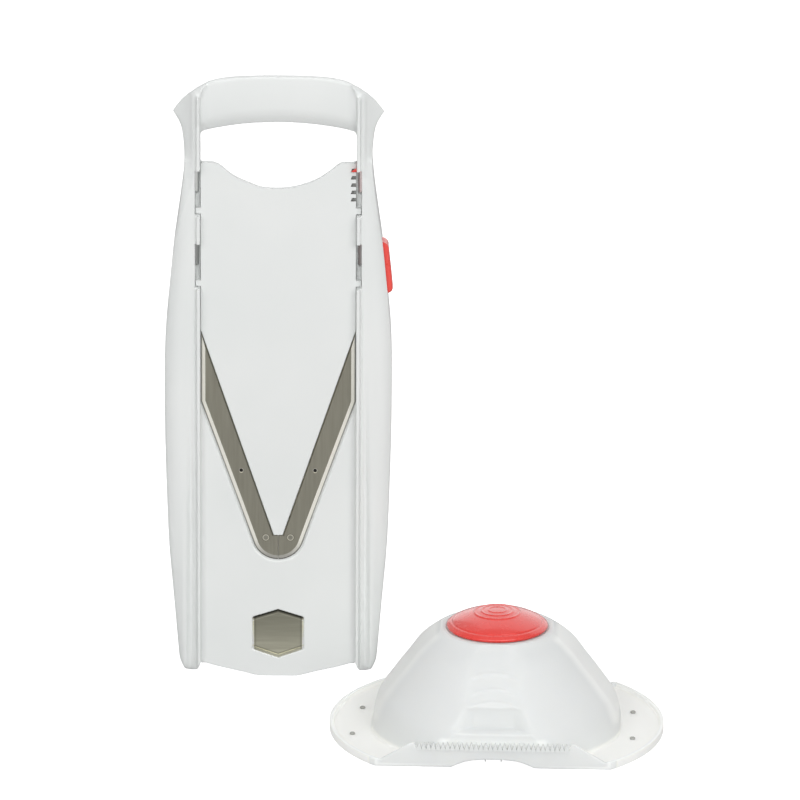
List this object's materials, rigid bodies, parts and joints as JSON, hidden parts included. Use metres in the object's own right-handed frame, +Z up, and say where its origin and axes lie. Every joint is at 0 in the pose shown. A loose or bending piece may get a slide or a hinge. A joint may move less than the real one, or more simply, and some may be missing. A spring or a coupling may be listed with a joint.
{
  "type": "mandoline slicer",
  "caption": "Upright mandoline slicer with arched grip, V blades, sliding thickness insert, red release lever, and a loose domed food holder with a push cap.",
  "frame": {"origin": "middle of the flat lower edge of the run-off tray's tongue, on which the slicer stands", "axes": "+Z up along the slicer to its grip bar, +X to the right as seen from the front, +Y to the back, so the slicing face looks along -Y"},
  "size_m": [0.2551, 0.1568, 0.3222],
  "materials": {
    "white_plastic": "smooth moulded white plastic",
    "holder_plastic": "smooth milky white plastic",
    "red_plastic": "smooth red plastic",
    "blade_steel": "ground stainless steel",
    "stud_rubber": "dark rubber",
    "bright_steel": "bright steel"
  },
  "bodies": {
    "slicer_frame": {"frame": "white_plastic", "handle_back_cover": "white_plastic", "handle_screws": "bright_steel", "left_rail_cover": "white_plastic", "right_rail_cover": "white_plastic", "rail_cover_screws": "bright_steel", "left_blade": "blade_steel", "right_blade": "blade_steel", "blade_rivets": "bright_steel", "blade_locating_pins": "bright_steel", "badge_plate": "blade_steel", "lever_pin": "bright_steel", "lever_spring": "bright_steel"},
    "insert": {"slicing_insert": "white_plastic"},
    "lever": {"release_lever": "red_plastic"},
    "holder": {"holder_shell": "holder_plastic", "guide_bush": "holder_plastic", "holder_needles": "bright_steel", "wing_studs": "stud_rubber"},
    "plunger": {"push_cap": "red_plastic", "plunger_shaft": "holder_plastic", "pusher_plate": "holder_plastic", "pusher_spikes": "bright_steel", "plunger_screw": "bright_steel"}
  },
  "joints": [
    {"name": "insert_slide", "type": "slide", "parent": "slicer_frame", "child": "insert", "axis": [0, 0.2924, 0.9563], "range_m": [0, 0.0162]},
    {"name": "lever_hinge", "type": "hinge", "parent": "slicer_frame", "child": "lever", "pos_m": [0.0462, 0.01, 0.244], "axis": [0, 1, 0], "range_deg": [0, 5.6], "stiffness_Nm_per_rad": 0.8, "springref_deg": -4.01, "deforming": ["lever_spring"]},
    {"name": "holder_lift", "type": "slide", "parent": "slicer_frame", "child": "holder", "axis": [0, 0, 1], "range_m": [0, 0.25]},
    {"name": "plunger_slide", "type": "slide", "parent": "holder", "child": "plunger", "axis": [0, 0, 1], "range_m": [0, 0.02]}
  ]
}
